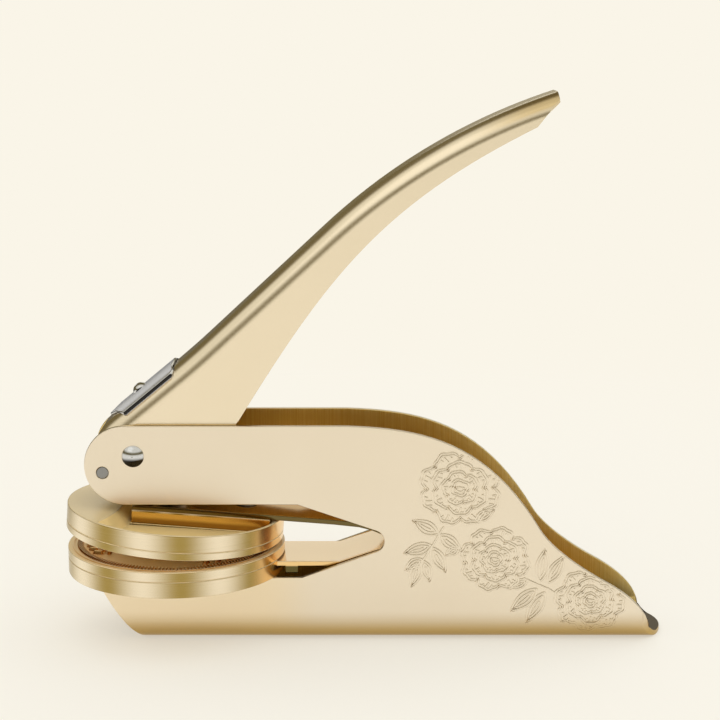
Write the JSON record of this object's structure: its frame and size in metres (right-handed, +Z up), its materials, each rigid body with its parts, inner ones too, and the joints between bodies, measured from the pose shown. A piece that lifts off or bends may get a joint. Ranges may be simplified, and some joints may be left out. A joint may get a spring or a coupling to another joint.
{
  "type": "seal embosser",
  "caption": "Hand seal embosser with folded sheet body, long sprung lever, press roller, latch and slide-out clip holding two round dies.",
  "frame": {"origin": "on the flat base plane, below the common axis of the closed dies, in the mirror plane between the two walls", "axes": "+Z up, +X from the nose to the tail, +Y across the body; -Z is the resting face's normal"},
  "size_m": [0.1376, 0.05, 0.1253],
  "materials": {
    "body_gold": "satin champagne gold coat on folded steel sheet",
    "lever_gold": "satin champagne gold coat on folded steel sheet",
    "arm_gold": "polished gold coat on spring steel strip",
    "cup_gold": "fine turned satin gold rim",
    "die_gold": "turned and engraved",
    "latch_chrome": "bright",
    "chrome": "bright",
    "steel": "plain",
    "spring_steel": "oiled"
  },
  "bodies": {
    "base": {"body_shell": "body_gold", "pivot_pin": "chrome", "pivot_cap": "chrome", "stop_pin": "steel", "pivot_washers": "steel", "return_spring": "spring_steel", "clip_socket": "body_gold"},
    "handle": {"handle": "lever_gold", "spring_sleeve": "steel", "roller_pin": "steel"},
    "roller": {"press_roller": "spring_steel"},
    "latch": {"latch_slide": "latch_chrome", "latch_knob": "latch_chrome", "latch_keeper": "steel"},
    "clip": {"lower_arm": "arm_gold", "tail_rivets": "steel", "lower_cup": "cup_gold", "lower_cup_rivets": "steel", "lower_die_pins": "steel", "lower_die": "die_gold"},
    "upper_jaw": {"upper_arm": "arm_gold", "upper_cup": "cup_gold", "upper_cup_rivets": "steel", "upper_die_pins": "steel", "upper_die": "die_gold"}
  },
  "joints": [
    {"name": "handle_press", "type": "hinge", "parent": "base", "child": "handle", "pos_m": [-0.0085, 0, 0.0434], "axis": [0, 1, 0], "range_deg": [0, 30], "stiffness_Nm_per_rad": 0.25, "springref_deg": -28.65, "deforming": ["return_spring"]},
    {"name": "roller_spin", "type": "hinge", "parent": "handle", "child": "roller", "pos_m": [-0.001, 0, 0.0359], "axis": [0, 1, 0], "continuous": true},
    {"name": "latch_travel", "type": "slide", "parent": "handle", "child": "latch", "axis": [-0.7694, 0, -0.6388], "range_m": [0, 0.004]},
    {"name": "clip_slide", "type": "slide", "parent": "base", "child": "clip", "axis": [-1, 0, 0], "range_m": [0, 0.085]},
    {"name": "clip_flex", "type": "hinge", "parent": "clip", "child": "upper_jaw", "pos_m": [0.0365, 0, 0.0265], "axis": [0, -1, 0], "range_deg": [0, 4.5], "deforming": ["upper_arm"]}
  ],
  "couplings": [
    {"joint": "clip_flex", "follows": "handle_press", "ratio": 0.15}
  ]
}
